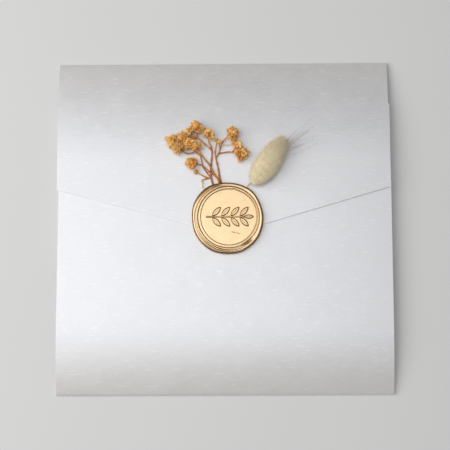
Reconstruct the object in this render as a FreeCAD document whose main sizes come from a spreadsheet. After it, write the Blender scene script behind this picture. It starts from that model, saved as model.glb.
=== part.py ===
"""A square pocket fold invitation, closed and sealed with wax over a small dried posy.

The folder lies on its back panel: +X runs across it, +Y towards the fold of the flap, +Z up.
The origin is the centre of the back panel's underside. Millimetres.
"""
import FreeCAD, Part
import math
import os
import re
import Sketcher

from FreeCAD import Placement, Rotation, Vector

doc = FreeCAD.newDocument("pocket_fold_invitation")

# ---------------------------------------------------------------- sizes

SIZES = {
    # the folded sheet of card
    "folder_width": 150,
    "folder_length": 150,
    "folder_card": 0.4,
    "fold_radius": 0.8,        # outside of the two main folds
    "head_reach": 44.2,        # how far the front bows, next to the flap's fold
    "foot_reach": 32,          # and next to the bottom fold
    "middle_gap": 1.6,         # air between the invitation and the pocket
    "leaf_gap": 0.1,           # air between leaves that lie on each other
    "point_x": 1.7,            # the flap's point, right of the middle
    "point_drop": 3.9,         # and below it
    "flap_rise_left": 20.7,    # from the point up to the flap's left corner
    "flap_rise_right": 21.3,
    "flap_relief": 0.5,        # how far the right side runs in
    "panel_setback": 20,       # from the pocket panel's closed edge to the flap's fold
    "panel_relief": 1.1,       # how far the left side runs in
    "pocket_inset": 1.8,       # the pocket is this much narrower, each side
    "pocket_height": 70,
    "tab_width": 12,
    "mouth_rise": 9,           # height of the curve cut in the pocket's mouth
    # what it carries
    "invitation_margin": 5,
    "insert_card": 0.4,
    "envelope_paper": 0.13,
    "insert_side_gap": 2.2,
    "insert_end_gap": 1,
    "details_past": 13.3,      # how far the card's lower edge runs into the bottom bow
    "reply_past": 2.8,
    "reply_margin": 2.5,       # the reply card is this much narrower than its envelope, each side
    "envelope_past": 6.8,
    "envelope_flap": 34,
    # the wax seal
    "seal_above_point": 7.3,
    "seal_height": 2.6,        # over the flap's face
    "seal_ease": 0.8,
    "field_radius": 12.2,      # the stamp's flat face
    "ledge_width": 1.5,
    "ring_slope": 0.4,
    "rim_width": 1.4,
    "seal_stretch": 0.6,       # the pour ran out a little further one way
    "end_tightness": 1.1,
    "stamp_shift": 0.85,
    "field_depth": 1.05,
    "ledge_depth": 0.45,
    "motif_height": 0.35,
    "leaf_length": 4.6,
    "leaf_pitch": 3.4,
    # the dried posy
    "twig_radius": 0.3,
    "grass_radius": 0.45,
    "head_length": 24.6,
    "head_width": 10.8,
}

WORKED_OUT = {
    "half_width": "folder_width / 2",
    "half_length": "folder_length / 2",
    "beyond": "half_width + 5",
    "envelope_depth": "2 * folder_card + leaf_gap",
    "reply_depth": "envelope_depth + 4 * envelope_paper + leaf_gap",
    "details_depth": "reply_depth + insert_card + leaf_gap",
    "pocket_depth": "details_depth + insert_card + leaf_gap + folder_card",
    "panel_top": "folder_card + insert_card + middle_gap + pocket_depth",
    "flap_top": "panel_top + leaf_gap + folder_card",
    # the front bows down to each main fold on one large arc that runs into the fold's own
    "fold_y": "half_length - fold_radius",
    "flat_head": "fold_y - head_reach",
    "flat_foot": "fold_y - foot_reach",
    "head_rise": "flap_top - fold_radius",
    "foot_rise": "panel_top - fold_radius",
    "head_bow": "(head_reach^2 + head_rise^2 - fold_radius^2) / (2 * (head_rise - fold_radius))",
    "foot_bow": "(foot_reach^2 + foot_rise^2 - fold_radius^2) / (2 * (foot_rise - fold_radius))",
    "head_bow_z": "flap_top - head_bow",
    "foot_bow_z": "panel_top - foot_bow",
    "head_lean_y": "head_reach / (head_bow - fold_radius)",
    "head_lean_z": "(fold_radius - head_bow_z) / (head_bow - fold_radius)",
    "foot_lean_y": "foot_reach / (foot_bow - fold_radius)",
    "foot_lean_z": "(fold_radius - foot_bow_z) / (foot_bow - fold_radius)",
    # the pocket's closed edge is a half round fold across the bow
    "panel_bow": "head_bow - folder_card - leaf_gap",
    "panel_end": "half_length - panel_setback",
    "pocket_bow": "panel_bow - pocket_depth / 2",
    "pocket_fold_y": "panel_end - pocket_depth / 2",
    "pocket_lean_y": "(pocket_fold_y - flat_head) / pocket_bow",
    "pocket_lean_z": "sqrt(1 - pocket_lean_y^2)",
    "mouth_y": "panel_end - pocket_height",
    "pocket_half": "half_width - pocket_inset",
    "mouth_half": "pocket_half - tab_width",
    "mouth_radius": "(mouth_half^2 + mouth_rise^2) / (2 * mouth_rise)",
    "insert_half": "pocket_half - folder_card - insert_side_gap",
    "insert_top": "pocket_fold_y - insert_end_gap",
    "details_low": "-flat_foot - details_past",
    "reply_low": "-flat_foot - reply_past",
    "envelope_low": "-flat_foot - envelope_past",
    # the flap's edge
    "point_y": "-point_drop",
    "flap_left_y": "point_y + flap_rise_left",
    "flap_right_y": "point_y + flap_rise_right",
    # the seal
    "seal_y": "point_y + seal_above_point",
    "seal_top": "flap_top - panel_top + seal_height",
    "ledge_radius": "field_radius + ledge_width",
    "seal_radius": "ledge_radius + ring_slope + rim_width",
    # the wax is an oval of four arcs: two ends and two flatter sides
    "end_radius": "seal_radius - end_tightness",
    "end_x": "seal_radius + seal_stretch - end_radius",
    "side_radius": "(end_x^2 + seal_radius^2 - end_radius^2) / (2 * end_tightness)",
    "oval_x": "end_x + end_radius * end_x / (side_radius - end_radius)",
    "oval_y": "end_radius * (side_radius - seal_radius) / (side_radius - end_radius)",
}

sizes = doc.addObject("Spreadsheet::Sheet", "sizes")
worked = doc.addObject("Spreadsheet::Sheet", "worked")


def formula(text):
    """Put each size's sheet before its name, as an expression needs."""
    def named(match):
        word = match.group(0)
        if word in SIZES:
            return "sizes." + word
        return "worked." + word if word in WORKED_OUT else word
    return re.sub(r"[a-z_]+", named, text)


def fill_sheets():
    """One row a size: its name, its value and its alias."""
    for row, (name, value) in enumerate(SIZES.items(), start=1):
        sizes.set(f"A{row}", name.replace("_", " "))
        sizes.set(f"B{row}", str(value))
        sizes.setAlias(f"B{row}", name)
    doc.recompute()
    for row, (name, text) in enumerate(WORKED_OUT.items(), start=1):
        own = re.sub(r"\bworked\.", "", formula(text))
        worked.set(f"A{row}", name.replace("_", " "))
        worked.set(f"B{row}", "=" + own)
        worked.setAlias(f"B{row}", name)
    doc.recompute()


fill_sheets()


def number(text):
    """The value that a formula has now."""
    return float(doc.getObject("ruler").evalExpression(formula(text)))


def bind(item, prop, text):
    """Tie a property to the sheets."""
    item.setExpression(prop, formula(text))


doc.addObject("App::FeaturePython", "ruler")

# ---------------------------------------------------------------- drawing helpers


def plane(body, role):
    """The body's own origin plane, such as XY_Plane."""
    return [item for item in body.Origin.OriginFeatures if item.Role == role][0]


def new_sketch(body, role, name, lift=None):
    """A sketch on an origin plane, or lifted off it along its normal."""
    sketch = body.newObject("Sketcher::SketchObject", name)
    sketch.AttachmentSupport = [(plane(body, role), "")]
    sketch.MapMode = "FlatFace"
    if lift:
        bind(sketch, "AttachmentOffset.Base.z", lift)
    return sketch


def arc_between(start, end, radius, side):
    """The short arc between two points, its centre to the left (side 1) or right (-1) of the way."""
    chord = end - start
    across = Vector(-chord.y, chord.x, 0).normalize() * side
    rise = math.sqrt(max(radius * radius - chord.Length ** 2 / 4, 0))
    centre = (start + end) * 0.5 + across * rise
    first, last = (start, end) if side > 0 else (end, start)
    angle_1 = math.atan2(first.y - centre.y, first.x - centre.x)
    angle_2 = math.atan2(last.y - centre.y, last.x - centre.x)
    if angle_2 < angle_1:
        angle_2 += 2 * math.pi
    return Part.ArcOfCircle(Part.Circle(centre, Vector(0, 0, 1), radius), angle_1, angle_2)


def draw_loop(sketch, corners):
    """A closed outline. A corner is (x, y), or (x, y, radius, side) where an arc leads to it."""
    points = [Vector(number(corner[0]), number(corner[1]), 0) for corner in corners]
    edges = []
    for index, corner in enumerate(corners):
        start, end = points[index - 1], points[index]
        if len(corner) == 2:
            edges.append((sketch.addGeometry(Part.LineSegment(start, end)), 1, 2))
            continue
        radius, side = corner[2:]
        edge = sketch.addGeometry(arc_between(start, end, number(radius), side))
        edges.append((edge, 1, 2) if side > 0 else (edge, 2, 1))
        held = sketch.addConstraint(Sketcher.Constraint("Radius", edge, number(radius)))
        bind(sketch, f"Constraints[{held}]", radius)
    for index, corner in enumerate(corners):
        edge, _, end_at = edges[index]
        following, start_at, _ = edges[(index + 1) % len(edges)]
        sketch.addConstraint(Sketcher.Constraint("Coincident", edge, end_at, following, start_at))
        for kind, text, value in zip(("DistanceX", "DistanceY"), corner, points[index]):
            held = sketch.addConstraint(Sketcher.Constraint(kind, -1, 1, edge, end_at, value))
            bind(sketch, f"Constraints[{held}]", text)


def new_body(name, **place):
    """An empty body. Its place is given as x, y and z formulas."""
    body = doc.addObject("PartDesign::Body", name)
    for axis, text in place.items():
        bind(body, f"Placement.Base.{axis}", text)
    return body


def pad(body, name, sketch, length, both_ways=False):
    """Give a sketch thickness, upwards or both ways."""
    feature = body.newObject("PartDesign::Pad", name)
    feature.Profile = sketch
    feature.SideType = "Symmetric" if both_ways else "One side"
    bind(feature, "Length", length)
    doc.recompute()
    return feature


def cut(body, name, sketch, length=None):
    """Take a sketch's area away both ways, right through or over a length."""
    before = body.Shape.Volume
    feature = body.newObject("PartDesign::Pocket", name)
    feature.Profile = sketch
    feature.SideType = "Symmetric"
    feature.Type = "Length" if length else "ThroughAll"
    if length:
        bind(feature, "Length", length)
    doc.recompute()
    if not body.Shape.Volume < before:
        raise ValueError(name + " takes nothing away")
    return feature


def turn(body, name, kind, sketch):
    """A revolved rib or groove about the sketch's upright axis."""
    feature = body.newObject("PartDesign::" + kind, name)
    feature.Profile = sketch
    feature.ReferenceAxis = (sketch, ["V_Axis"])
    feature.Angle = 360
    doc.recompute()
    return feature


# ---------------------------------------------------------------- the bowed front


def under_head(depth, y):
    """Height, near the flap's fold, of a point that lies so deep under the pocket panel's face."""
    return f"head_bow_z + sqrt((panel_bow - ({depth}))^2 - (({y}) - flat_head)^2)"


def under_foot(depth, y):
    """The same near the bottom fold."""
    return f"foot_bow_z + sqrt((foot_bow - ({depth}))^2 - (({y}) + flat_foot)^2)"


def bowed_section(sketch, depth, thickness, low, high):
    """A leaf that follows the pocket panel's bow, from low to high along Y."""
    deep = f"{depth} + {thickness}"
    draw_loop(sketch, [
        (high, under_head(depth, high)),
        ("flat_head", f"panel_top - ({depth})", f"panel_bow - ({depth})", 1),
        ("-flat_foot", f"panel_top - ({depth})"),
        (low, under_foot(depth, low), f"foot_bow - ({depth})", 1),
        (low, under_foot(deep, low)),
        ("-flat_foot", f"panel_top - ({deep})", f"foot_bow - ({deep})", -1),
        ("flat_head", f"panel_top - ({deep})"),
        (high, under_head(deep, high), f"panel_bow - ({deep})", -1),
    ])


# ---------------------------------------------------------------- the folded sheet


def across_fold(part, inner, sign):
    """Where a bow runs into its main fold, on the outer face or, with inner, the inner one."""
    y = f"{sign} * (flat_{part} + ({part}_bow - {inner}) * {part}_lean_y)"
    return y, f"{part}_bow_z + ({part}_bow - {inner}) * {part}_lean_z"


def make_back():
    """The back panel with the two main folds that carry the flap and the pocket panel."""
    body = new_body("back_leaf")
    sketch = new_sketch(body, "YZ_Plane", "back_section")
    bend = "fold_radius - folder_card"
    draw_loop(sketch, [
        across_fold("head", "0", "1"),
        ("fold_y", "0", "fold_radius", -1),
        ("-fold_y", "0"),
        (*across_fold("foot", "0", "-1"), "fold_radius", -1),
        across_fold("foot", "folder_card", "-1"),
        ("-fold_y", "folder_card", bend, 1),
        ("fold_y", "folder_card"),
        (*across_fold("head", "folder_card", "1"), bend, 1),
    ])
    pad(body, "back_panel", sketch, "folder_width", both_ways=True)
    return body


def make_flap():
    """The flap: a bowed strip, cut to its V edge."""
    body = new_body("flap_leaf")
    sketch = new_sketch(body, "YZ_Plane", "flap_section")
    draw_loop(sketch, [
        across_fold("head", "0", "1"),
        ("flat_head", "flap_top", "head_bow", 1),
        ("point_y", "flap_top"),
        ("point_y", "flap_top - folder_card"),
        ("flat_head", "flap_top - folder_card"),
        (*across_fold("head", "folder_card", "1"), "head_bow - folder_card", -1),
    ])
    pad(body, "flap_strip", sketch, "folder_width", both_ways=True)
    waste = new_sketch(body, "XY_Plane", "flap_waste")
    draw_loop(waste, [
        ("-half_width", "flap_left_y"),
        ("point_x", "point_y"),
        ("half_width - flap_relief", "flap_right_y"),
        ("half_width", "half_length"),
        ("beyond", "half_length"),
        ("beyond", "point_y - 5"),
        ("-beyond", "point_y - 5"),
        ("-beyond", "flap_left_y"),
    ])
    cut(body, "flap_edge", waste)
    return body


def lean(depth):
    """A point on the line across the pocket's closed edge, so deep under the panel's face."""
    return (f"flat_head + (panel_bow - ({depth})) * pocket_lean_y",
            f"head_bow_z + (panel_bow - ({depth})) * pocket_lean_z")


def fold_tip(radius):
    """The outermost point of a half round about the pocket's closed edge."""
    y, z = lean("pocket_depth / 2")
    return f"{y} + ({radius}) * pocket_lean_z", f"{z} - ({radius}) * pocket_lean_y"


def make_panel():
    """The pocket panel, from the bottom fold to the pocket's closed edge under the flap."""
    body = new_body("panel_leaf")
    sketch = new_sketch(body, "YZ_Plane", "panel_section")
    draw_loop(sketch, [
        lean("0"),
        ("flat_head", "panel_top", "panel_bow", 1),
        ("-flat_foot", "panel_top"),
        (*across_fold("foot", "0", "-1"), "foot_bow", 1),
        across_fold("foot", "folder_card", "-1"),
        ("-flat_foot", "panel_top - folder_card", "foot_bow - folder_card", -1),
        ("flat_head", "panel_top - folder_card"),
        (*lean("folder_card"), "panel_bow - folder_card", -1),
    ])
    pad(body, "panel_strip", sketch, "folder_width", both_ways=True)
    waste = new_sketch(body, "XY_Plane", "panel_waste")
    draw_loop(waste, [
        ("-half_width", "-half_length"),
        ("panel_relief - half_width", "panel_end"),
        ("-beyond", "panel_end"),
        ("-beyond", "-half_length"),
    ])
    cut(body, "panel_side", waste)
    return body


def pocket_space(sketch, top, bottom, mouth):
    """Outline of a space in the pocket between two depths, from its mouth to the closed edge."""
    draw_loop(sketch, [
        lean(bottom),
        ("flat_head", f"panel_top - ({bottom})", f"panel_bow - ({bottom})", 1),
        (mouth, f"panel_top - ({bottom})"),
        (mouth, f"panel_top - ({top})"),
        ("flat_head", f"panel_top - ({top})"),
        (*lean(top), f"panel_bow - ({top})", -1),
    ])


def fold_space(sketch, radius, top, bottom):
    """Half round about the closed edge, between two depths."""
    draw_loop(sketch, [
        lean(top),
        (*fold_tip(radius), radius, -1),
        (*lean(bottom), radius, -1),
    ])


def make_pocket():
    """The pocket: turned in at its closed edge, with a folded and glued tab at each side."""
    body = new_body("pocket_leaf")
    sketch = new_sketch(body, "YZ_Plane", "pocket_section")
    draw_loop(sketch, [
        lean("0"),
        (*fold_tip("pocket_depth / 2"), "pocket_depth / 2", -1),
        (*lean("pocket_depth"), "pocket_depth / 2", -1),
        ("flat_head", "panel_top - pocket_depth", "panel_bow - pocket_depth", 1),
        ("mouth_y", "panel_top - pocket_depth"),
        ("mouth_y", "panel_top - folder_card"),
        ("flat_head", "panel_top - folder_card"),
        (*lean("folder_card"), "panel_bow - folder_card", -1),
    ])
    pad(body, "pocket_block", sketch, "2 * pocket_half", both_ways=True)
    inner = "pocket_depth / 2 - folder_card"
    floor = "pocket_depth - folder_card"
    between_tabs = new_sketch(body, "YZ_Plane", "between_tabs")
    pocket_space(between_tabs, "folder_card", floor, "mouth_y - 1")
    cut(body, "space_between_tabs", between_tabs, "2 * mouth_half")
    under_tabs = new_sketch(body, "YZ_Plane", "under_tabs")
    pocket_space(under_tabs, "2 * folder_card", floor, "mouth_y - 1")
    cut(body, "space_under_tabs", under_tabs, "2 * (pocket_half - folder_card)")
    fold_ends = new_sketch(body, "YZ_Plane", "fold_ends")
    fold_space(fold_ends, inner, "folder_card", floor)
    cut(body, "inside_of_fold", fold_ends)
    mouth = new_sketch(body, "XY_Plane", "mouth_curve")
    draw_loop(mouth, [
        ("-mouth_half", "mouth_y"),
        ("0", "mouth_y + mouth_rise", "mouth_radius", -1),
        ("mouth_half", "mouth_y", "mouth_radius", -1),
        ("mouth_half", "mouth_y - 1"),
        ("-mouth_half", "mouth_y - 1"),
    ])
    cut(body, "pocket_mouth", mouth)
    return body


def join(name, pieces):
    """Weld pieces that meet into one solid."""
    whole = doc.addObject("Part::MultiFuse", name)
    whole.Shapes = pieces
    whole.Refine = True
    doc.recompute()
    return whole


def make_folder():
    """The whole sheet: its leaves, joined at their folds."""
    return join("pocket_folder", [make_back(), make_flap(), make_panel(), make_pocket()])


# ---------------------------------------------------------------- what the folder carries


def make_invitation():
    """The invitation, mounted flat on the back panel."""
    body = new_body("invitation_card", z="folder_card")
    sketch = new_sketch(body, "XY_Plane", "card_outline")
    draw_loop(sketch, [
        ("invitation_margin - half_width", "invitation_margin - half_length"),
        ("half_width - invitation_margin", "invitation_margin - half_length"),
        ("half_width - invitation_margin", "half_length - invitation_margin"),
        ("invitation_margin - half_width", "half_length - invitation_margin"),
    ])
    pad(body, "card", sketch, "insert_card")
    return body


def make_insert(name, depth, low, half):
    """A card in the pocket, bowed as the pocket is."""
    body = new_body(name)
    sketch = new_sketch(body, "YZ_Plane", "card_section")
    bowed_section(sketch, depth, "insert_card", low, "insert_top")
    pad(body, "card", sketch, f"2 * ({half})", both_ways=True)
    return body


def make_envelope():
    """The reply envelope: front, side flaps and bottom flap pressed flat, with the top flap over them."""
    body = new_body("reply_envelope")
    flap_section = new_sketch(body, "YZ_Plane", "top_flap_section")
    bowed_section(flap_section, "envelope_depth", "envelope_paper", "envelope_low", "insert_top")
    pad(body, "top_flap", flap_section, "2 * insert_half", both_ways=True)
    waste = new_sketch(body, "XY_Plane", "top_flap_waste")
    draw_loop(waste, [
        ("-insert_half", "insert_top"),
        ("-8", "insert_top - envelope_flap"),
        ("8", "insert_top - envelope_flap", "10", 1),
        ("insert_half", "insert_top"),
        ("beyond", "insert_top"),
        ("beyond", "envelope_low - 5"),
        ("-beyond", "envelope_low - 5"),
        ("-beyond", "insert_top"),
    ])
    cut(body, "top_flap_edge", waste)
    pocket = new_sketch(body, "YZ_Plane", "envelope_section")
    bowed_section(pocket, "envelope_depth + envelope_paper", "3 * envelope_paper", "envelope_low",
                  "insert_top")
    pad(body, "envelope", pocket, "2 * insert_half", both_ways=True)
    return body


# ---------------------------------------------------------------- the dried posy

# Points are (x, y, z) from the seal's centre on the flap's face. Each list is one twig, and the
# number before it is the radius of the bloom on its end. The first of a sprig is its stem.
CENTRE_SPRIG = [
    (1.7, [(-6.0, 10.5, 0.7), (-6.5, 15.0, 0.7), (-7.3, 18.0, 0.6), (-7.4, 22.0, 0.5),
           (-7.1, 26.5, 0.6), (-6.9, 30.0, 0.8), (-7.8, 31.5, 1.0), (-10.0, 33.5, 1.2),
           (-13.5, 37.0, 1.6), (-17.6, 39.6, 1.9)]),
    (2.3, [(-13.5, 37.0, 1.6), (-14.0, 41.5, 2.5)]),
    (2.2, [(-13.5, 37.0, 1.6), (-17.0, 37.2, 1.8), (-20.9, 37.2, 2.4)]),
    (2.3, [(-13.5, 37.0, 1.6), (-17.2, 35.4, 1.7), (-21.5, 34.6, 1.9), (-25.6, 35.4, 2.5)]),
    (2.2, [(-6.9, 30.0, 0.8), (-7.2, 32.2, 1.1), (-8.3, 34.5, 1.5), (-8.6, 37.8, 2.4)]),
    (0.9, [(-7.3, 18.0, 0.6), (-9.6, 18.5, 0.8), (-14.0, 20.8, 1.1)]),
]
LEFT_SPRIG = [
    (2.0, [(-3.6, 12.5, 1.9), (-3.9, 17.0, 1.9), (-5.3, 19.0, 1.7), (-6.5, 21.0, 1.6),
           (-8.0, 24.0, 1.6), (-9.6, 26.0, 1.5), (-11.2, 28.0, 1.5), (-12.3, 30.0, 1.6),
           (-14.0, 32.2, 2.2)]),
    (2.0, [(-11.2, 28.0, 1.5), (-15.0, 29.6, 1.7), (-18.2, 32.4, 2.2)]),
    (2.5, [(-15.0, 29.6, 1.7), (-18.5, 29.2, 2.0), (-22.8, 31.0, 2.7)]),
    (2.3, [(-5.3, 19.0, 1.7), (-8.0, 20.8, 1.6), (-10.0, 22.7, 1.5), (-11.8, 24.0, 1.6),
           (-15.6, 24.7, 2.5)]),
]
RIGHT_SPRIG = [
    (0.8, [(-2.2, 12.0, 0.7), (-3.0, 16.3, 0.7), (-3.6, 19.0, 0.6), (-4.0, 21.7, 0.6),
           (-4.7, 25.0, 0.7), (-5.2, 27.2, 0.8), (-5.5, 30.0, 1.0), (-4.9, 33.5, 1.1),
           (-5.2, 35.4, 1.2)]),
    (2.4, [(-5.2, 27.2, 0.8), (-3.9, 29.3, 0.9), (-3.3, 31.2, 1.0), (-2.0, 34.6, 1.3),
           (0.0, 36.5, 1.7), (2.3, 38.6, 2.6)]),
    (0.9, [(-3.3, 31.2, 1.0), (-3.6, 34.2, 1.2)]),
    (2.4, [(-3.9, 29.3, 0.9), (-0.2, 29.8, 1.1), (2.2, 29.8, 1.4), (6.8, 29.0, 2.6)]),
    (1.6, [(2.2, 29.8, 1.4), (4.4, 32.6, 1.8)]),
]
SEAL_TURN = 135                # the way that the pour ran out, in degrees
GRASS_STEM = [(6.0, 10.0, 1.0), (8.4, 13.2, 1.1), (10.0, 15.2, 2.6), (12.2, 17.9, 5.4)]
HEAD_BASE = (10.4, 15.6, 5.3)
HEAD_WAY = (15.7, 19.2, 0.9)
# The head's half width, as a share of its widest, at shares of its length.
HEAD_OUTLINE = [(0.06, 0.56), (0.3, 0.97), (0.6, 0.94), (0.92, 0.46)]


def twig(points, radius):
    """A thin ribbed twig that turns at its nodes."""
    way = doc.addObject("Part::Polygon", "twig_way")
    way.Nodes = [Vector(*point) for point in points]
    ring = doc.addObject("Part::RegularPolygon", "twig_ring")
    ring.Polygon = 6
    bind(ring, "Circumradius", radius)
    ring.Placement = Placement(way.Nodes[0], Rotation(Vector(0, 0, 1), way.Nodes[1] - way.Nodes[0]))
    doc.recompute()
    sweep = doc.addObject("Part::Sweep", "twig")
    sweep.Sections = [ring]
    sweep.Spine = (way, [f"Edge{count}" for count in range(1, len(points))])
    sweep.Solid = True
    sweep.Transition = "Right corner"
    return sweep


def cone(foot, way, radius_1, radius_2, height):
    """A cone or a cone's stump that stands on a point and looks along a way."""
    item = doc.addObject("Part::Cone", "cone")
    item.Radius1, item.Radius2, item.Height = radius_1, radius_2, height
    item.Placement = Placement(foot, Rotation(Vector(0, 0, 1), way))
    return item


def bloom(radius, points):
    """One flower head about a twig's last point: a cup that widens, and its closing crown."""
    way = (Vector(*points[-1]) - Vector(*points[-2])).normalize()
    widest = Vector(*points[-1]) + way * 0.2 * radius
    cup = cone(widest - way * 1.1 * radius, way, 0.4 * radius, radius, 1.1 * radius)
    return [cup, cone(widest, way, radius, 0.55 * radius, 0.7 * radius)]


def place_on_flap(item):
    """Set a piece that was made about the seal's centre in its place."""
    bind(item, "Placement.Base.x", "point_x")
    bind(item, "Placement.Base.y", "seal_y")
    bind(item, "Placement.Base.z", "flap_top")


def make_sprig(name, twigs):
    """A dried sprig: a stem, the thinner twigs that leave it, and a bloom on each end."""
    thickness = ["twig_radius"] + ["0.8 * twig_radius"] * (len(twigs) - 1)
    wood = [twig(points, radius) for (_, points), radius in zip(twigs, thickness)]
    heads = [piece for each in twigs for piece in bloom(*each)]
    sprig = join(name, wood + heads)
    place_on_flap(sprig)
    return sprig


def make_bunny_tail():
    """A grass: its bent stem, and its soft egg-shaped head, turned about an axis along the flap."""
    body = doc.addObject("PartDesign::Body", "grass_head")
    sketch = new_sketch(body, "XZ_Plane", "head_profile")
    draw_loop(sketch, [("0", "0")] + [
        (f"{share} * head_width / 2", f"{along} * head_length") for along, share in HEAD_OUTLINE
    ] + [("0", "head_length")])
    turn(body, "head", "Revolution", sketch)
    body.Placement = Placement(Vector(*HEAD_BASE), Rotation(Vector(0, 0, 1), Vector(*HEAD_WAY)))
    tail = join("bunny_tail", [twig(GRASS_STEM, "grass_radius"), body])
    place_on_flap(tail)
    return tail


# ---------------------------------------------------------------- the wax seal


def poured_wax(body):
    """The wax as it ran out: a low oval cushion with its edge eased."""
    sketch = new_sketch(body, "XY_Plane", "pour_outline")
    draw_loop(sketch, [
        ("oval_x", "oval_y", "end_radius", 1),
        ("-oval_x", "oval_y", "side_radius", 1),
        ("-oval_x", "-oval_y", "end_radius", 1),
        ("oval_x", "-oval_y", "side_radius", 1),
    ])
    pour = pad(body, "pour", sketch, "seal_top")
    top = max(range(len(pour.Shape.Faces)), key=lambda index: pour.Shape.Faces[index].CenterOfMass.z)
    rim = body.newObject("PartDesign::Chamfer", "eased_rim")
    rim.Base = (pour, [f"Face{top + 1}"])
    bind(rim, "Size", "seal_ease")
    doc.recompute()


def stamp_recess(body):
    """What the round stamp pressed in: a flat field, a ledge round it and sloping risers."""
    sketch = new_sketch(body, "XZ_Plane", "stamp_section", lift="stamp_shift")
    draw_loop(sketch, [
        ("0", "seal_top - field_depth"),
        ("field_radius", "seal_top - field_depth"),
        ("field_radius + ring_slope", "seal_top - ledge_depth"),
        ("ledge_radius", "seal_top - ledge_depth"),
        ("ledge_radius + ring_slope", "seal_top"),
        ("ledge_radius + ring_slope", "seal_top + 1"),
        ("0", "seal_top + 1"),
    ])
    turn(body, "stamp_recess", "Groove", sketch)


def leaf(sketch, base_x, base_y, tip_x, tip_y):
    """A leaf: two arcs from its base to its tip and back."""
    draw_loop(sketch, [
        (tip_x, tip_y, "leaf_length", 1),
        (base_x, base_y, "leaf_length", 1),
    ])


def stamped_motif(body):
    """A plain sprig of leaves, raised in the middle of the field."""
    sketch = new_sketch(body, "XY_Plane", "motif_outline", lift="seal_top - field_depth")
    sketch.AttachmentOffset = Placement(Vector(), Rotation(Vector(0, 0, 1), -SEAL_TURN))
    bind(sketch, "AttachmentOffset.Base.y", "-stamp_shift")
    draw_loop(sketch, [
        ("-2.2 * leaf_pitch", "-0.18"),
        ("1.1 * leaf_pitch", "-0.18"),
        ("1.1 * leaf_pitch", "0.18"),
        ("-2.2 * leaf_pitch", "0.18"),
    ])
    for pair in range(3):
        base = f"{pair - 1.5} * leaf_pitch"
        for side in (-1, 1):
            tip = (f"{base} + 0.7 * leaf_length", f"{side} * (0.4 + 0.7 * leaf_length)")
            leaf(sketch, base, f"{0.4 * side}", *tip)
    leaf(sketch, "1.2 * leaf_pitch", "0", "1.2 * leaf_pitch + leaf_length", "0")
    pad(body, "stamped_motif", sketch, "motif_height")


def make_seal(stems):
    """The seal: poured, stamped, and shaped by all that it was poured over."""
    body = new_body("poured_wax", x="point_x", y="seal_y", z="panel_top")
    body.Placement.Rotation = Rotation(Vector(0, 0, 1), SEAL_TURN)
    poured_wax(body)
    stamp_recess(body)
    stamped_motif(body)
    flap = new_body("flap_print")
    sketch = new_sketch(flap, "XY_Plane", "flap_outline")
    draw_loop(sketch, [
        ("-half_width", "flap_left_y"),
        ("point_x", "point_y"),
        ("half_width - flap_relief", "flap_right_y"),
        ("half_width", "half_length"),
        ("-half_width", "half_length"),
    ])
    pad(flap, "flap_thickness", sketch, "flap_top")
    on_card = doc.addObject("Part::Cut", "wax_on_card")
    on_card.Base, on_card.Tool = body, flap
    held = doc.addObject("Part::Compound", "held_stems")
    held.Links = stems
    seal = doc.addObject("Part::Cut", "wax_seal")
    seal.Base, seal.Tool = on_card, held
    doc.recompute()
    return seal


# ---------------------------------------------------------------- build and write


def build():
    """Every separate piece, each with the label that names its file."""
    sprigs = [
        make_sprig("sprig_left", LEFT_SPRIG),
        make_sprig("sprig_centre", CENTRE_SPRIG),
        make_sprig("sprig_right", RIGHT_SPRIG),
    ]
    tail = make_bunny_tail()
    return [
        make_folder(),
        make_invitation(),
        make_insert("details_card", "details_depth", "details_low", "insert_half"),
        make_insert("reply_card", "reply_depth", "reply_low", "insert_half - reply_margin"),
        make_envelope(),
        make_seal(sprigs + [tail]),
        *sprigs,
        tail,
    ]


def check(pieces):
    """Stop if any object failed, or a piece is not one good solid."""
    doc.recompute()
    for item in doc.Objects:
        if {"Invalid", "Error"} & set(item.State):
            raise ValueError(f"{item.Label} failed: {item.State}")
    for piece in pieces:
        shape = piece.Shape
        if shape.isNull() or not shape.isValid() or len(shape.Solids) != 1:
            raise ValueError(piece.Label + " is not one good solid")
        box = shape.BoundBox
        print(f"{piece.Label:16s} {shape.Volume:9.1f} mm3  x {box.XMin:.2f} {box.XMax:.2f}"
              f"  y {box.YMin:.2f} {box.YMax:.2f}  z {box.ZMin:.2f} {box.ZMax:.2f}")


def write(pieces):
    """One file a piece."""
    os.makedirs("parts", exist_ok=True)
    for piece in pieces:
        piece.Shape.exportStep(f"parts/{piece.Label}.step")


made = build()
check(made)
write(made)
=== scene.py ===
# %% [markdown]
# # A pocket fold invitation, closed and sealed
#
# The object is a square of pearl card that folds round an invitation: a flap with a shallow V edge
# comes down over a pocket panel, and a pour of gold wax holds the two together over a small dried
# posy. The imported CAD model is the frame: it gives every size and place. This file gives the pieces
# their surfaces, and each cell makes one thing.

# %% The frame
import math

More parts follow.
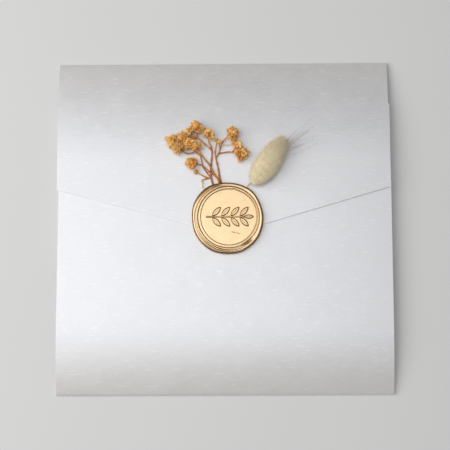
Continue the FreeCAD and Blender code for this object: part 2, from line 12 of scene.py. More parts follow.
import bpy
import numpy as np
from mathutils import Euler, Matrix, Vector


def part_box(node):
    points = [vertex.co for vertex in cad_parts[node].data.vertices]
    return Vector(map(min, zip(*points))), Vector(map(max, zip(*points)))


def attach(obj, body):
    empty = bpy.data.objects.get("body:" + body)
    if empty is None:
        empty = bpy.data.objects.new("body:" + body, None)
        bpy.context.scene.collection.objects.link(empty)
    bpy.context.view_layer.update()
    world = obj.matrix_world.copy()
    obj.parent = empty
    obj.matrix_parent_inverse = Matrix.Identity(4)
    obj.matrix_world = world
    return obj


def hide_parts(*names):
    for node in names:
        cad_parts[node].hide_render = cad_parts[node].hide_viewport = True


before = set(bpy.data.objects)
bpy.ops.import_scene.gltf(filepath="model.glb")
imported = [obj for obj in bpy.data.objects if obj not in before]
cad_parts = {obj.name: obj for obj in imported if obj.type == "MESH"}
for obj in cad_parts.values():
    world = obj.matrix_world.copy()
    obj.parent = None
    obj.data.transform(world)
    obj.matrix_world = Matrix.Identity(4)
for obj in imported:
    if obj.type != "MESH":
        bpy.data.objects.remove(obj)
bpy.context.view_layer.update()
MM = 0.001
rng = np.random.default_rng(11)
print("CAD nodes:", ", ".join(sorted(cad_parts)))

# %% [markdown]
# ## From numbers to meshes
#
# Every new piece here is a surface: a rule that turns two numbers, how far along and how far round,
# into a point, and numpy works it out for the whole grid at once. What is left is which four points
# make each face, and how a grid's open ends are closed, so that each piece is a skin with no hole. A
# shape is kept as a patch: its points, its faces, and marks, which are numbers at each point that a
# material can read.

# %% Shares and directions


def smooth(low, high, value):
    """0 up to low, 1 from high on, and w * w * (3 - 2 w) at a share w of the way between them."""
    share = np.clip((value - low) / (high - low), 0.0, 1.0)
    return share * share * (3.0 - 2.0 * share)


def unit(vectors):
    """Each vector divided by its own length."""
    return vectors / np.maximum(np.linalg.norm(vectors, axis=-1, keepdims=True), 1e-12)


print("halfway between 2 and 6, smoothed:", smooth(2.0, 6.0, 4.0))

# %% Faces of a grid


def grid_faces(rows, cols, closed=False):
    """Faces of a grid numbered row by row: (i, j) joins columns j and j + 1 of rows i and i + 1."""
    row = np.arange(rows - 1)[:, None] * cols
    col = np.arange(cols if closed else cols - 1)[None, :]
    following = (col + 1) % cols
    corners = [row + col, row + following, row + following + cols, row + col + cols]
    return np.stack(corners, axis=-1).reshape(-1, 4)


def closed_grid(rings, sides, flip=False):
    """Walls of a grid that goes round, and caps that close its ends on the two points after it.

    Flip turns the faces over, for rings that go round the other way."""
    walls = grid_faces(rings, sides, closed=True)
    size = rings * sides
    first = np.arange(sides)
    last = first + size - sides
    caps = np.concatenate([np.stack([np.roll(first, -1), first, np.full(sides, size)], axis=-1),
                           np.stack([last, np.roll(last, -1), np.full(sides, size + 1)], axis=-1)])
    return [walls[:, ::-1], caps[:, [1, 0, 2]]] if flip else [walls, caps]


def repeated(faces, count, step):
    """The same faces for each of count shapes whose points follow each other step apart."""
    return (faces[None] + step * np.arange(count)[:, None, None]).reshape(-1, faces.shape[1])


def shells(front, back):
    """Thin leaves with a front grid, a back grid and a rim. Both are (leaves, rows, cols, 3)."""
    count, rows, cols = front.shape[:3]
    size = rows * cols
    number = np.arange(size).reshape(rows, cols)
    border = np.concatenate([number[0, :-1], number[:-1, -1], number[-1, :0:-1], number[:0:-1, 0]])
    after = np.roll(border, -1)
    face = grid_faces(rows, cols)
    rim = np.stack([after, border, border + size, after + size], axis=-1)
    faces = np.concatenate([face, face[:, ::-1] + size, rim])
    return np.stack([front, back], axis=1).reshape(-1, 3), [repeated(faces, count, 2 * size)]


print("a grid of 3 rows by 4 columns has", len(grid_faces(3, 4)), "faces")

# %% From patches to a piece


def new_object(name, data):
    """An object in the scene with its mesh, light or camera."""
    item = bpy.data.objects.new(name, data)
    bpy.context.scene.collection.objects.link(item)
    return item


def make_piece(name, node, patches, sharp=None):
    """Patches as one object that rides the root body and stands for a CAD node.

    A patch is (points, face arrays, marks). A mark called facing is a direction at each point: the
    surface is lit as if it faced mostly that way, so thousands of hairs read as one soft surface."""
    points = np.concatenate([patch[0] for patch in patches])
    starts = np.cumsum([0] + [len(patch[0]) for patch in patches])
    faces = [face for start, patch in zip(starts, patches) for part in patch[1]
             for face in (part + start).tolist()]
    mesh = bpy.data.meshes.new(name)
    mesh.from_pydata(points.tolist(), [], faces)
    facing = np.concatenate([patch[2].pop("facing", np.zeros_like(patch[0])) for patch in patches])
    for title in sorted({key for patch in patches for key in patch[2]}):
        values = [patch[2].get(title, np.zeros(len(patch[0]))) for patch in patches]
        layer = mesh.attributes.new(title, "FLOAT", "POINT")
        layer.data.foreach_set("value", np.concatenate(values).astype(np.float32))
    mesh.shade_smooth()
    if sharp:
        mesh.set_sharp_from_angle(angle=math.radians(sharp))
    if facing.any():
        normals = np.empty(points.size, np.float32)
        mesh.vertex_normals.foreach_get("vector", normals)
        lit = unit(0.4 * normals.reshape(-1, 3) + facing)
        mesh.normals_split_custom_set_from_vertices(lit.tolist())
    piece = new_object(name, mesh)
    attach(piece, "root")
    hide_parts(node)
    print(f"{name}: {len(points)} points, {sum(len(face) - 2 for face in faces)} triangles")


# %% [markdown]
# ## The folded card
#
# The folder is one sheet of 300 gram card. Seen from the side it is a chain of straight runs and
# arcs: the flap, its bow and fold, the back, the bottom fold, the pocket panel with its own bow, and
# the pocket turned in under the flap. Each run has a length and a turn, so walking along the chain
# gives the side view, and the sheet is that view carried across. The flap's V edge is only a start
# of the chain that changes across the folder.

# %% Sizes of the card
folder_low, folder_high = (np.array(corner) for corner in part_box("pocket_folder"))
HALF_WIDTH, HALF_LENGTH, FLAP_TOP = folder_high
CARD = 0.4 * MM
LEAF_GAP = 0.1 * MM
PANEL_TOP = FLAP_TOP - CARD - LEAF_GAP
FOLD_RADIUS = 0.8 * MM
HEAD_REACH = 44.2 * MM
FOOT_REACH = 32.0 * MM
FLAT_HEAD = HALF_LENGTH - FOLD_RADIUS - HEAD_REACH
FLAT_FOOT = HALF_LENGTH - FOLD_RADIUS - FOOT_REACH
POCKET_DEPTH = PANEL_TOP - 2.4 * MM
PANEL_END = HALF_LENGTH - 20.0 * MM
POCKET_START = PANEL_END - 70.0 * MM
POCKET_INSET = 1.8
POCKET_HALF = HALF_WIDTH - POCKET_INSET * MM
TAB_WIDTH = 12.0 * MM
MOUTH_RISE = 9.0 * MM
# The flap's point, and where its V edge meets the left and the right side.
POINT = np.array([1.7, -3.9]) * MM
FLAP_LEFT, FLAP_RIGHT = POINT[1] + np.array([20.7, 21.3]) * MM
# Where the flap's right side steps in, from the start of its bow.
SIDE_STEP = 25.5 * MM + np.array([-0.1, 0.1]) * MM
# How far the first row and column stay inside the rim, which rounds it.
EASE = 0.06 * MM
print("folder", (folder_high - folder_low) / MM, "mm")

# %% The chain of the sheet


def bow_radius(top, reach):
    """Radius of the large arc that leaves the flat front and runs into the fold's own arc."""
    rise = top - FOLD_RADIUS
    return (reach ** 2 + rise ** 2 - FOLD_RADIUS ** 2) / (2.0 * (rise - FOLD_RADIUS))


HEAD_BOW = bow_radius(FLAP_TOP, HEAD_REACH)
FOOT_BOW = bow_radius(PANEL_TOP, FOOT_REACH)
PANEL_BOW = HEAD_BOW - CARD - LEAF_GAP
HEAD_LEAN = math.asin(HEAD_REACH / (HEAD_BOW - FOLD_RADIUS))
FOOT_LEAN = math.asin(FOOT_REACH / (FOOT_BOW - FOLD_RADIUS))
POCKET_LEAN = math.asin((PANEL_END - POCKET_DEPTH / 2 - FLAT_HEAD) / (PANEL_BOW - POCKET_DEPTH / 2))
FOLD_LINE = FOLD_RADIUS - CARD / 2
POCKET_FOLD = POCKET_DEPTH / 2 - CARD / 2

# Each run: what it is, its length along the middle of the card, how far it turns, how many rows.
RUNS = [
    ("flap", FLAT_HEAD - POINT[1], 0.0, 26),
    ("flap bow", (HEAD_BOW - CARD / 2) * HEAD_LEAN, -HEAD_LEAN, 24),
    ("flap fold", FOLD_LINE * (math.pi - HEAD_LEAN), HEAD_LEAN - math.pi, 14),
    ("back", 2 * (HALF_LENGTH - FOLD_RADIUS), 0.0, 30),
    ("bottom fold", FOLD_LINE * (math.pi - FOOT_LEAN), FOOT_LEAN - math.pi, 14),
    ("panel foot", (FOOT_BOW - CARD / 2) * FOOT_LEAN, -FOOT_LEAN, 24),
    ("panel", FLAT_HEAD + FLAT_FOOT, 0.0, 28),
    ("panel head", (PANEL_BOW - CARD / 2) * POCKET_LEAN, -POCKET_LEAN, 14),
    ("pocket fold", POCKET_FOLD * math.pi, -math.pi, 14),
    ("pocket head", (PANEL_BOW - POCKET_DEPTH + CARD / 2) * POCKET_LEAN, POCKET_LEAN, 10),
    ("pocket", FLAT_HEAD - POCKET_START, 0.0, 16),
]
RUN_LENGTHS = np.array([run[1] for run in RUNS])
RUN_TURNS = np.array([run[2] for run in RUNS])
RUN_ENDS = np.cumsum(RUN_LENGTHS)
RUN_STARTS = RUN_ENDS - RUN_LENGTHS
END = {run[0]: end for run, end in zip(RUNS, RUN_ENDS)}


def follow(distance):
    """Where the middle of the card is, and its outward normal, at each distance along the chain.

    Over a distance d of a run with curvature c and heading g, the point moves by
    d * sinc(c d / 2) in the direction g + c d / 2."""
    curve = RUN_TURNS / RUN_LENGTHS
    heading = np.cumsum(RUN_TURNS) - RUN_TURNS
    chord = RUN_LENGTHS * np.sinc(RUN_TURNS / 2 / np.pi)
    along = heading + RUN_TURNS / 2
    corner_y = POINT[1] + np.concatenate([[0.0], np.cumsum(chord * np.cos(along))])
    corner_z = FLAP_TOP - CARD / 2 + np.concatenate([[0.0], np.cumsum(chord * np.sin(along))])
    run = np.clip(np.searchsorted(RUN_ENDS, distance), 0, len(RUNS) - 1)
    travelled = distance - RUN_STARTS[run]
    bent = curve[run] * travelled
    reach = travelled * np.sinc(bent / 2 / np.pi)
    y = corner_y[run] + reach * np.cos(heading[run] + bent / 2)
    z = corner_z[run] + reach * np.sin(heading[run] + bent / 2)
    facing = heading[run] + bent + np.pi / 2
    return y, z, np.cos(facing), np.sin(facing)


for (title, *_), y, z in zip(RUNS, *follow(RUN_ENDS)[:2]):
    print(f"{title:12s} ends at y {y / MM:7.2f}  z {z / MM:5.2f}")

# %% [markdown]
# A sheet that follows its drawing exactly looks like plastic. Real card has taken a little shape of
# its own: it swells by up to a tenth of a millimetre, and a flap held down at its point lifts
# further out. Both are added along the card's normal. The rim gets two rows close together, so that
# the cut edge reads as rounded in a close view.

# %% The sheet's swell and cuts


def wave(x, y, phase):
    """A shallow swell: three long sines that cross at different slants, between -1 and 1."""
    return (np.sin(46.0 * x + 21.0 * y + phase) + np.sin(-31.0 * x + 58.0 * y + 2.1 * phase)
            + np.sin(83.0 * x - 12.0 * y + 3.7 * phase)) / 3.0


def flap_edge(x):
    """How far up the V edge is at each x: two straight cuts that meet at the point."""
    corners = [-HALF_WIDTH, POINT[0], HALF_WIDTH - 0.5 * MM]
    return np.interp(x, corners, [FLAP_LEFT, POINT[1], FLAP_RIGHT])


def mouth_rise(x):
    """How far the pocket's curved mouth is cut in at each x: an arc between the two tabs."""
    half = POCKET_HALF - TAB_WIDTH
    radius = (half ** 2 + MOUTH_RISE ** 2) / (2 * MOUTH_RISE)
    arc = np.sqrt(radius ** 2 - np.minimum(np.abs(x), half) ** 2) - (radius - MOUTH_RISE)
    return np.where(np.abs(x) < half, arc, 0.0)


# How far each side is cut in, in millimetres, at places along the chain.
SIDE_PLACES = [0.0, END["flap"], *(END["flap"] + SIDE_STEP), END["flap bow"], END["flap fold"],
               END["back"], END["panel foot"], END["panel head"], END["panel head"] + 0.25 * MM,
               RUN_ENDS[-1]]
LEFT_INSETS = [0.0] * 7 + [0.2, 1.1, POCKET_INSET, POCKET_INSET]
RIGHT_INSETS = [0.1, 0.3, 0.0, 0.55, 0.45, 0.45] + [0.0] * 3 + [POCKET_INSET] * 2


print("the flap's edge runs from", FLAP_LEFT / MM, "to", POINT[1] / MM, "to", FLAP_RIGHT / MM, "mm")

# %% The sheet's rows and columns
# Rows run along the chain, closer together at both ends and at the step in the side.
first, last, pocket = RUN_LENGTHS[0], RUN_LENGTHS[-1], RUN_STARTS[-1]
rows = [np.linspace(0, 1, run[3], endpoint=False) for run in RUNS]
rows[0] = np.concatenate([np.array([0.0, EASE, 0.25 * MM, 0.45 * MM]) / first, rows[0][1:]])
rows[1] = np.sort(np.concatenate([rows[1], SIDE_STEP / RUN_LENGTHS[1]]))
rows[-1] = np.concatenate([rows[-1], [1.0 - EASE / last, 1.0]])
plain = np.concatenate([start + row * length
                        for start, row, length in zip(RUN_STARTS, rows, RUN_LENGTHS)])[:, None]
# Columns run across, and their ends follow the cut sides.
side = np.concatenate([np.linspace(0, 1, 40)[1:-1], [1.0 - EASE / HALF_WIDTH, 1.0]])
column = np.concatenate([-side[::-1], [0.0], side])
left = np.interp(plain, SIDE_PLACES, LEFT_INSETS) * MM - HALF_WIDTH
right = HALF_WIDTH - np.interp(plain, SIDE_PLACES, RIGHT_INSETS) * MM
x = POINT[0] + np.where(column > 0, column * (right - POINT[0]), -column * (left - POINT[0]))
# Near its two ends the chain is shortened to the V edge and the pocket's mouth.
edge = flap_edge(x) - POINT[1]
distance = np.where(plain < END["flap"], edge + plain * (first - edge) / first, plain)
shortened = pocket + (plain - pocket) * (1 - mouth_rise(x) / last)
distance = np.where(plain > pocket, shortened, distance)
print("rows and columns:", distance.shape)

# %% The sheet's surface
y, z, normal_y, normal_z = follow(distance)
# The swell on both leaves, and the lift of the flap's edge.
on_flap = 1 - smooth(END["flap"], END["flap bow"], distance)
on_panel = (smooth(END["bottom fold"], END["panel foot"], distance)
            * (1 - smooth(END["panel"], END["panel head"], distance)))
away = smooth(16.0 * MM, 45.0 * MM, np.abs(x - POINT[0]))
lift = away * np.where(x > POINT[0], 0.28, 0.14) * MM
lift *= np.exp(-np.maximum(distance - edge, 0.0) / (9.0 * MM))
swell = 0.05 * MM * (on_flap * (1 + wave(x, y, 0.6)) + on_panel * (wave(x, y, 2.9) - 1.0))
shift = swell + on_flap * lift
y, z = y + shift * normal_y, z + shift * normal_z
# The sheet is half a card thick to both sides of its middle, and a little less at the rim.
rim = np.zeros_like(x)
rim[0] = rim[-1] = rim[:, 0] = rim[:, -1] = 1.0
# The cut edge takes the white core's colour. Left of the flap's point, the first rows along the V edge
# are also painted core white: a painted highlight where that edge catches the light.
cut = rim.copy()
cut[:4] = np.maximum(cut[:4], np.array([1.0, 1.0, 0.8, 0.0])[:, None] * (x[:4] < POINT[0]))
thick = CARD / 2 - EASE * rim
front, back = (np.stack([x, y + half * normal_y, z + half * normal_z], axis=-1)[None]
               for half in (thick, -thick))
folds = sum(np.exp(-((distance - RUN_ENDS[run] + RUN_LENGTHS[run] / 2) / width) ** 2)
            for run, width in ((2, 1.2 * MM), (4, 1.2 * MM), (8, 1.6 * MM)))
# Painted shade mark: how far the card slopes towards its folds, where the material warms and darkens it.
lean = smooth(0.04, 0.24, np.abs(normal_y))
marks = {"cut": cut, "fold": folds, "lean": lean}
sheet = *shells(front, back), {name: np.tile(value.ravel(), 2) for name, value in marks.items()}
print("the front stands", z.max() / MM, "mm high")

# %% The pocket's tabs


def pocket_tab(side):
    """One glued tab: up from the pocket's back, round, and in under the panel along its bow."""
    depth_low, depth_high = POCKET_DEPTH - CARD, 1.5 * CARD
    bend = 0.35 * MM
    turn = np.linspace(0.0, np.pi / 2, 6)
    sine, cosine = np.sin(turn), np.cos(turn)
    wall = POCKET_HALF - CARD / 2
    facing_out = np.concatenate([sine, cosine, [0.0]])
    facing_deep = np.concatenate([cosine, -sine, [-1.0]])
    out = wall - bend + bend * facing_out
    out[-1] = wall - TAB_WIDTH
    depth = bend * facing_deep + np.repeat([depth_low - bend, depth_high + bend], [6, 7])
    start = END["panel foot"] + FLAT_FOOT + POCKET_START
    distance = np.linspace(start, END["panel head"] - 0.4 * MM, 40)[:, None]
    y, z, normal_y, normal_z = follow(distance)
    leaves = []
    for thick in (CARD / 2 - 0.02 * MM, 0.02 * MM - CARD / 2):
        x = np.broadcast_to(side * (out + thick * facing_out), (40, len(out)))
        below = CARD / 2 - depth - thick * facing_deep
        leaves.append(np.stack([x, y + below * normal_y, z + below * normal_z], axis=-1)[None])
    points, faces = shells(*leaves[::-side])
    return points, faces, {"cut": np.zeros(len(points))}


make_piece("folded_card", "pocket_folder",
           [sheet, pocket_tab(1), pocket_tab(-1)], sharp=40)

# %% [markdown]
# ## The wax seal
#
# Wax is poured as a puddle, and a cold round stamp is pressed in before it sets. The stamp leaves a
# flat field with two steps round it, and the wax that it pushes out stands up as an uneven rim. So
# the seal is worked out in rings about the stamp's middle. Each ring has a radius at every angle,
# which goes over from the stamp's true circle to the puddle's own outline, and a height, where the
# steps, ridges and dents are added. A plain sprig of leaves stands in the middle.

# %% Sizes of the seal
seal_low, seal_high = (np.array(corner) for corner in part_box("wax_seal"))
SEAL_MIDDLE = (seal_low[:2] + seal_high[:2]) / 2
STAMP_MIDDLE = SEAL_MIDDLE + np.array([0.6, 0.6]) * MM
RIM_HEIGHT = seal_high[2] - FLAP_TOP
FIELD_HEIGHT = 1.55 * MM
FIELD_RADIUS = 12.5 * MM
STAMP_RADIUS = 14.0 * MM
LEDGE_RISE = 0.3 * MM
WALL_INSET = 0.35 * MM
# The puddle's edge: an angle in degrees about the seal's middle, and how far out, in millimetres.
PUDDLE = [(0, 15.95), (25, 16.0), (52, 16.4), (82, 15.95), (105, 16.15), (132, 16.7), (160, 16.4),
          (185, 15.9), (210, 16.05), (242, 16.2), (270, 16.0), (290, 16.2), (312, 16.15), (335, 16.05)]
print("seal middle", SEAL_MIDDLE / MM, "rim", RIM_HEIGHT / MM)

# %% Curves and peaks


def hermite(share, start, end, slope_in, slope_out):
    """The cubic from start to end with a given slope at each, as share goes from 0 to 1."""
    square, cube = share ** 2, share ** 3
    return ((2 * cube - 3 * square + 1) * start + (cube - 2 * square + share) * slope_in
            + (3 * square - 2 * cube) * end + (cube - square) * slope_out)


def round_curve(knots, angle):
    """A smooth closed curve through (degrees, value) knots: a cubic between each two, whose slope at a
    knot is that of the line between its neighbours."""
    place, value = np.array(knots, float).T
    place = np.concatenate([place[-2:] - 360.0, place, place[:2] + 360.0])
    value = np.concatenate([value[-2:], value, value[:2]])
    slope = np.zeros_like(value)
    slope[1:-1] = (value[2:] - value[:-2]) / (place[2:] - place[:-2])
    degrees = np.degrees(angle) % 360.0
    at = np.clip(np.searchsorted(place, degrees) - 1, 1, len(place) - 3)
    width = place[at + 1] - place[at]
    return hermite((degrees - place[at]) / width, value[at], value[at + 1],
                   width * slope[at], width * slope[at + 1])


def peak(value, middle, width_mm):
    """exp(-(d / width)^2) at a distance d from the middle."""
    return np.exp(-((value - middle) / (width_mm * MM)) ** 2)


print("the puddle reaches", round_curve(PUDDLE, 0.0), "mm to the right")

# %% The motif


def leaf_shape(x, y, base, tip, swell=0.4):
    """How far inside a leaf each point is (it is where two discs cross), how far along, and how far
    off its middle line."""
    base, tip = np.array(base) * MM, np.array(tip) * MM
    middle, half = (base + tip) / 2, np.linalg.norm(tip - base) / 2
    way = (tip - base) / (2 * half)
    x, y = x - middle[0], y - middle[1]
    along, off = x * way[0] + y * way[1], y * way[0] - x * way[1]
    radius = half * (1 + swell ** 2) / (2 * swell)
    offset = radius - swell * half
    inside = radius - np.maximum(np.hypot(along, off - offset), np.hypot(along, off + offset))
    return inside, np.abs(along) / half, np.abs(off)


def motif(x, y):
    """A stem with four pairs of leaves and one at its tip, raised a third of a millimetre.

    Each leaf has a groove along its middle. Returns the height, and how near a point is to an
    outline, which is a peak just inside it."""
    leaves = [((base, 0.4 * side), (base + 3.7, 4.3 * side))
              for base in (-7.4, -3.3, 0.8, 4.9) for side in (-1, 1)]
    leaves.append(((6.6, 0.0), (11.0, 0.0)))
    on_stem = smooth(-10.4 * MM, -10.1 * MM, x) * (1 - smooth(6.8 * MM, 7.2 * MM, x))
    height = 0.34 * MM * smooth(0.0, 0.24 * MM, 0.36 * MM - np.abs(y)) * on_stem
    edge = 0.8 * peak(np.abs(y), 0.3 * MM, 0.16) * (height > 0)
    for base, tip in leaves:
        inside, reach, off = leaf_shape(x, y, base, tip)
        vein = 0.12 * MM * (1 - smooth(0.0, 0.16 * MM, off)) * (1 - smooth(0.35, 0.7, reach))
        height = np.maximum(height, 0.36 * MM * smooth(0.0, 0.26 * MM, inside) - vein)
        edge = np.maximum(edge, peak(inside, 0.08 * MM, 0.23))
    return height, edge


print("the motif's middle is", motif(0.0, 0.0)[0] / MM, "mm high")

# %% The seal's rings


def base_height(x, y):
    """The card under the wax: the flap, and past its V edge the panel, half a millimetre lower."""
    past = flap_edge(x) - y
    return FLAP_TOP - (FLAP_TOP - PANEL_TOP) * smooth(-0.1 * MM, 0.7 * MM, past)


def near(middle, width):
    """1 at an angle in degrees, falling smoothly to 0 at width degrees from it."""
    off = (np.degrees(angle) - middle + 180.0) % 360.0 - 180.0
    return 1 - smooth(0.0, width, np.abs(off))


def place(out):
    """x and y of a ring that is a distance out from the stamp's middle."""
    return STAMP_MIDDLE[0] + out * ray[0], STAMP_MIDDLE[1] + out * ray[1]


angle = np.linspace(0.0, 2.0 * np.pi, 480, endpoint=False)
ray = np.stack([np.cos(angle), np.sin(angle)])
outline = round_curve(PUDDLE, angle) * MM - (STAMP_MIDDLE - SEAL_MIDDLE) @ ray
outline += 0.03 * MM * np.sin(9 * angle + 1.0)
# 144 rings are true circles up to the stamp's edge, and 33 go over to the puddle's outline.
shares = np.concatenate([np.linspace(0.015, 0.85, 102), np.linspace(0.854, 1.0, 42)])[:, None]
share = np.linspace(0, 1, 34)[1:, None]
radius = np.concatenate([shares * STAMP_RADIUS + 0.0 * angle,
                         STAMP_RADIUS + share * (outline - WALL_INSET - STAMP_RADIUS)])
x, y = radius * ray[0], radius * ray[1]
# The radius of the two steps, the distance to the outline, and the share of the way over the rim.
second = (13.62 + 0.16 * np.cos(angle - math.radians(215.0))) * MM
first = FIELD_RADIUS + 0.06 * MM * np.sin(3 * angle + 0.5) + 0.25 * MM * near(78.0, 7.0)
rim_out = outline - radius
crown = np.clip((radius - second) / (outline - second), 0.0, 1.0)
print("rings:", len(radius), "outline from", outline.min() / MM, "to", outline.max() / MM, "mm")

# %% The seal's height
# The two steps, each with a faint groove at its foot, and the crown.
height = FIELD_HEIGHT - 0.05 * MM * peak(radius, first - 0.1 * MM, 0.15)
height += LEDGE_RISE * smooth(0.0, 0.26 * MM, radius - first)
height -= 0.05 * MM * peak(radius, second - 0.08 * MM, 0.15)
height += (RIM_HEIGHT - FIELD_HEIGHT - LEDGE_RISE) * (
    0.85 * smooth(0.0, 0.3 * MM, radius - second) + 0.15 * smooth(0.0, 0.6, crown))
# Layers at the bottom left, a furrow at the left, a lap at the bottom right, dents at the top.
layers = np.sin(2.0 * np.pi * (radius - second) / (1.5 * MM) + 1.1 * np.sin(2 * angle))
grooves = (near(254.0, 58.0) * np.abs(layers) ** 6
           * smooth(0.1, 0.3, crown) * (1 - smooth(0.85, 1.0, crown)))
furrow = second + (0.42 + 0.12 * np.sin(2 * angle + 0.7)) * (outline - second)
lap = peak(radius, 14.1 * MM, 0.5) * near(307.0, 17.0)
dents = near(112.0, 14.0) - 0.6 * near(62.0, 9.0)
height -= 0.3 * MM * grooves
height -= 0.24 * MM * near(165.0, 100.0) * peak(radius, furrow, 0.13)
height -= 0.5 * MM * lap
height += 0.03 * MM * np.sin(5 * angle + 6 * crown) * smooth(0.2, 0.6, crown)
height += 0.22 * MM * smooth(0.3, 0.7, crown) * dents
# The rounded shoulder over the wall, and the motif on the field.
from_shoulder = np.clip(1 - (rim_out - WALL_INSET) / (0.62 * MM), 0.0, 1.0)
height -= 0.75 * MM * (1 - np.sqrt(1 - from_shoulder ** 2))
leaf_height, leaf_edge = motif(x, y)
height += np.where(radius < first, leaf_height, 0.0)
# A faint scratch across the lower field.
along = x - 3.2 * MM
on_scratch = 1 - smooth(1.6 * MM, 2.6 * MM, np.abs(along))
height -= 0.09 * MM * peak(y + 0.22 * along, -7.1 * MM, 0.13) * on_scratch
print("height from", height.min() / MM, "to", height.max() / MM, "mm over the flap")

# %% The seal's painted shade lines
# Painted shade, dark brown: the motif's outlines, the grooves, the lap and the two ring lines, and a
# painted shadow band just inside the outline at the upper left.
shadow_band = rim_out / (0.5 * MM + 1.3 * MM * near(131.0, 45.0))
shade_lines = np.max([np.where(radius < first, leaf_edge, 0.0), 0.8 * grooves ** 2, 0.6 * lap,
                0.88 * near(131.0, 66.0) * (1 - smooth(0.7, 1.15, shadow_band)),
                *(0.9 * peak(radius, ring + 0.13 * MM, 0.17) for ring in (first, second))], axis=0)
print("dark lines on", round(100 * shade_lines.mean()), "percent of the rings")

# %% The seal's wall and underside
# The wall bulges a little on its way down to the card. The painted shade follows the slope: rise over
# run from ring to ring. The wall gets less of it, apart from its upper left, which is painted as in
# shade.
top_z = FLAP_TOP + height
foot = base_height(*place(outline))
down = np.linspace(0, 1, 9)[1:, None]
wall_radius = outline - WALL_INSET + np.sin(np.pi * (0.25 + 0.75 * down)) * 0.35 * MM
wall_z = top_z[-1] + (foot - top_z[-1]) * down
under_radius = np.array([0.7, 0.35, 0.02])[:, None] * wall_radius[-1]
under_z = base_height(*place(under_radius))
all_radius = np.concatenate([radius, wall_radius, under_radius])
all_z = np.concatenate([top_z, wall_z, under_z])
points = np.stack([*place(all_radius), all_z], axis=-1)
level = np.maximum(np.abs(np.gradient(all_radius, axis=0)), 0.01 * MM)
steep = smooth(0.5, 1.9, np.abs(np.gradient(all_z, axis=0)) / level)
steep[len(shade_lines):] *= 0.33 + 0.57 * near(125.0, 100.0)
steep[:len(shade_lines)] = np.maximum(steep[:len(shade_lines)], shade_lines)
ends = [[*STAMP_MIDDLE, top_z[0].mean()], [*STAMP_MIDDLE, base_height(*STAMP_MIDDLE)]]
seal = (np.concatenate([points.reshape(-1, 3), ends]), closed_grid(len(points), len(angle), flip=True),
        {"steep": np.append(steep, [0.0, 0.0])})
make_piece("poured_seal", "wax_seal", [seal])

# %% [markdown]
# ## The amber sprigs
#
# Three dried sprigs fan out from under the wax. A twig grew from node to node, with a small swelling
# at each, and it thins towards its bloom, which is dozens of papery petals round one point. The
# curve through the nodes is a Catmull-Rom spline, which passes through every point it is given.

# %% The twigs' nodes
POSY_ORIGIN = np.array([POINT[0], POINT[1] + 7.3 * MM, FLAP_TOP])
STEM_RADIUS = 0.48
# One twig a row: its bloom's radius, then its nodes from the posy's origin, all in millimetres.
FORK = (-13.5, 36.6, 1.6)
CENTRE_SPRIG = [
    (1.7, [(-6.3, 12.8, 0.9), (-6.5, 15.0, 0.8), (-7.3, 18.0, 0.6), (-7.4, 22.0, 0.5), (-7.1, 26.5, 0.6),
           (-6.9, 30.0, 0.8), (-7.8, 31.5, 1.0), (-10.0, 33.5, 1.2), FORK, (-17.2, 38.8, 1.9)]),
    (2.4, [FORK, (-13.8, 40.6, 2.5)]),
    (2.2, [FORK, (-16.6, 36.6, 1.8), (-19.8, 36.2, 2.4)]),
    (2.5, [FORK, (-17.2, 35.0, 1.7), (-20.8, 34.0, 1.9), (-24.2, 34.4, 2.5)]),
    (2.2, [(-6.9, 30.0, 0.8), (-7.2, 32.2, 1.1), (-8.3, 34.5, 1.5), (-8.6, 37.8, 2.4)]),
    (0.9, [(-7.3, 18.0, 0.6), (-9.6, 18.5, 0.8), (-14.0, 20.8, 1.1)]),
]
LEFT_SPRIG = [
    (2.0, [(-3.7, 13.9, 1.4), (-3.9, 17.0, 1.9), (-5.3, 19.0, 1.7), (-6.5, 21.0, 1.6), (-8.0, 24.0, 1.6),
           (-9.6, 26.0, 1.5), (-11.2, 28.0, 1.5), (-12.3, 30.0, 1.6), (-14.0, 32.2, 2.2)]),
    (2.3, [(-11.2, 28.0, 1.5), (-14.4, 29.9, 1.7), (-16.8, 32.9, 2.2)]),
    (2.4, [(-15.0, 29.6, 1.7), (-18.3, 29.3, 2.0), (-21.8, 31.4, 2.7)]),
    (2.3, [(-5.3, 19.0, 1.7), (-8.0, 20.8, 1.6), (-10.0, 22.7, 1.5), (-11.8, 24.0, 1.6),
           (-15.6, 24.7, 2.5)]),
]
RIGHT_SPRIG = [
    (0.8, [(-2.4, 13.6, 0.9), (-3.0, 16.3, 0.8), (-3.6, 19.0, 0.6), (-4.0, 21.7, 0.6), (-4.7, 25.0, 0.7),
           (-5.2, 27.2, 0.8), (-5.5, 30.0, 1.0), (-4.9, 33.5, 1.1), (-5.2, 35.4, 1.2)]),
    (2.4, [(-5.2, 27.2, 0.8), (-3.9, 29.3, 0.9), (-3.3, 31.2, 1.0), (-2.0, 34.6, 1.3), (0.0, 36.5, 1.7),
           (2.1, 37.8, 2.6)]),
    (0.9, [(-3.3, 31.2, 1.0), (-3.6, 34.2, 1.2)]),
    (2.5, [(-3.9, 29.3, 0.9), (-0.2, 29.8, 1.1), (2.2, 29.8, 1.4), (6.2, 29.0, 2.6)]),
    (2.0, [(2.2, 29.8, 1.4), (4.3, 32.4, 1.8)]),
]
print("twigs:", len(LEFT_SPRIG), len(CENTRE_SPRIG), len(RIGHT_SPRIG))

# %% Twigs


def turned(first, second, angle):
    """The first direction turned towards the second by an angle a: cos a * first + sin a * second."""
    return np.cos(angle)[..., None] * first + np.sin(angle)[..., None] * second


